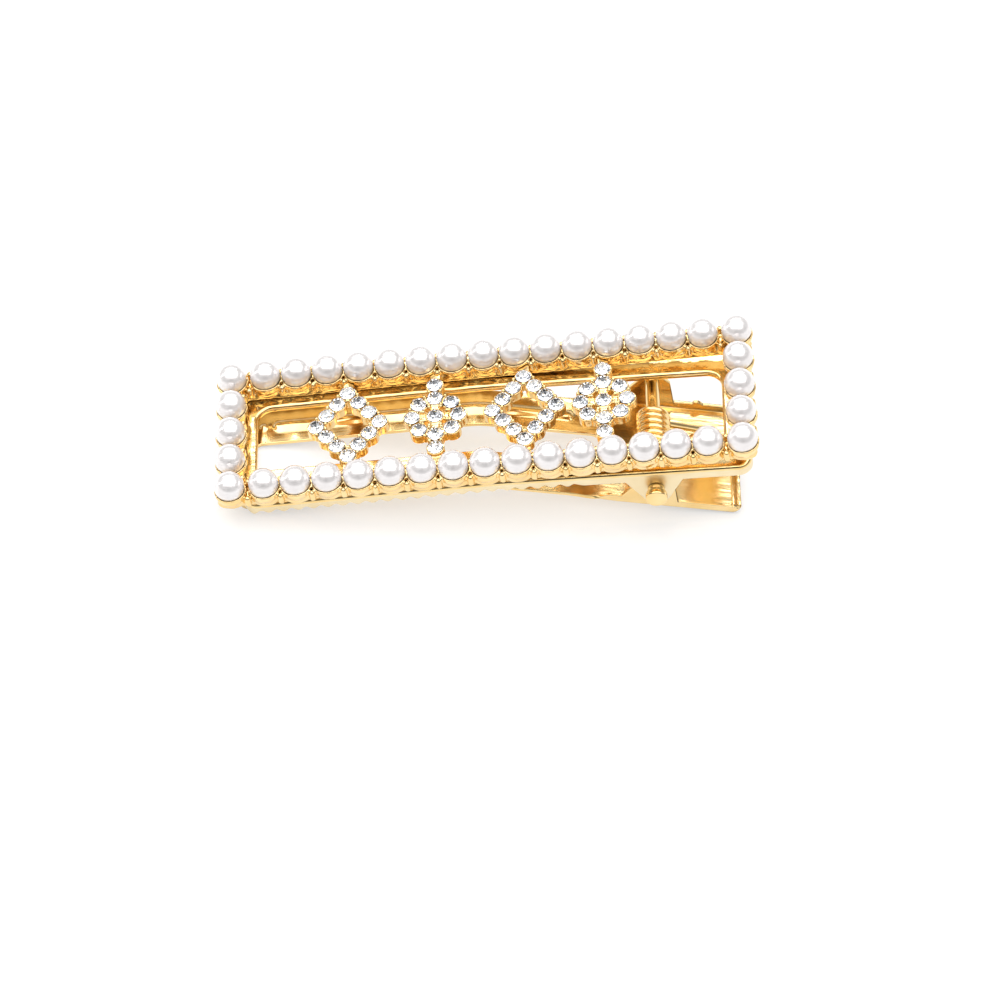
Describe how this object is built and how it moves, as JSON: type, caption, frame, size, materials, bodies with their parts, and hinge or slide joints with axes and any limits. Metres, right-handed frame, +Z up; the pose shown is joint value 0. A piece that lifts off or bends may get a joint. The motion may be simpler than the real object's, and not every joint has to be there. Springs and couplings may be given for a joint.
{
  "type": "barrette",
  "caption": "Sprung gold-plated beak barrette with a pearl-edged rectangular frame and openwork motifs of clear stones, closed on its toothed jaws and opened by squeezing its tails.",
  "frame": {"origin": "on the table, under the middle of the closed clip's box", "axes": "+X runs along the clip from the beak to the tail, +Y across it towards the far side, +Z up from the table the closed clip rests on"},
  "size_m": [0.0702, 0.0238, 0.018],
  "materials": {
    "gold_sheet": "bright gold plating on stamped steel sheet",
    "gold_steel": "bright gold plating on steel wire and pin",
    "gold_casting": "bright gold plating on cast zinc alloy",
    "pearl": "pearlescent lacquer",
    "crystal": "faceted, foil-backed"
  },
  "bodies": {
    "lower": {"lower_jaw": "gold_sheet", "torsion_spring": "gold_steel"},
    "upper": {"upper_jaw": "gold_sheet", "hinge_pin": "gold_steel", "pearl_frame": "gold_casting", "lozenge_setting_1": "gold_casting", "daisy_setting_1": "gold_casting", "lozenge_setting_2": "gold_casting", "daisy_setting_2": "gold_casting", "lozenge_stones_1": "crystal", "daisy_stones_1": "crystal", "lozenge_stones_2": "crystal", "daisy_stones_2": "crystal", "pearl_far_01": "pearl", "pearl_far_02": "pearl", "pearl_far_03": "pearl", "pearl_far_04": "pearl", "pearl_far_05": "pearl", "pearl_far_06": "pearl", "pearl_far_07": "pearl", "pearl_far_08": "pearl", "pearl_far_09": "pearl", "pearl_far_10": "pearl", "pearl_far_11": "pearl", "pearl_far_12": "pearl", "pearl_far_13": "pearl", "pearl_far_14": "pearl", "pearl_far_15": "pearl", "pearl_far_16": "pearl", "pearl_far_17": "pearl", "pearl_near_01": "pearl", "pearl_near_02": "pearl", "pearl_near_03": "pearl", "pearl_near_04": "pearl", "pearl_near_05": "pearl", "pearl_near_06": "pearl", "pearl_near_07": "pearl", "pearl_near_08": "pearl", "pearl_near_09": "pearl", "pearl_near_10": "pearl", "pearl_near_11": "pearl", "pearl_near_12": "pearl", "pearl_near_13": "pearl", "pearl_near_14": "pearl", "pearl_near_15": "pearl", "pearl_near_16": "pearl", "pearl_near_17": "pearl", "pearl_beak_1": "pearl", "pearl_beak_2": "pearl", "pearl_beak_3": "pearl", "pearl_tail_1": "pearl", "pearl_tail_2": "pearl", "pearl_tail_3": "pearl"}
  },
  "joints": [
    {"name": "jaw_hinge", "type": "hinge", "parent": "lower", "child": "upper", "pos_m": [0.02219, 0, 0.00659], "axis": [0, 1, 0], "range_deg": [0, 32], "stiffness_Nm_per_rad": 0.05, "springref_deg": -25.78, "deforming": ["torsion_spring"]}
  ]
}
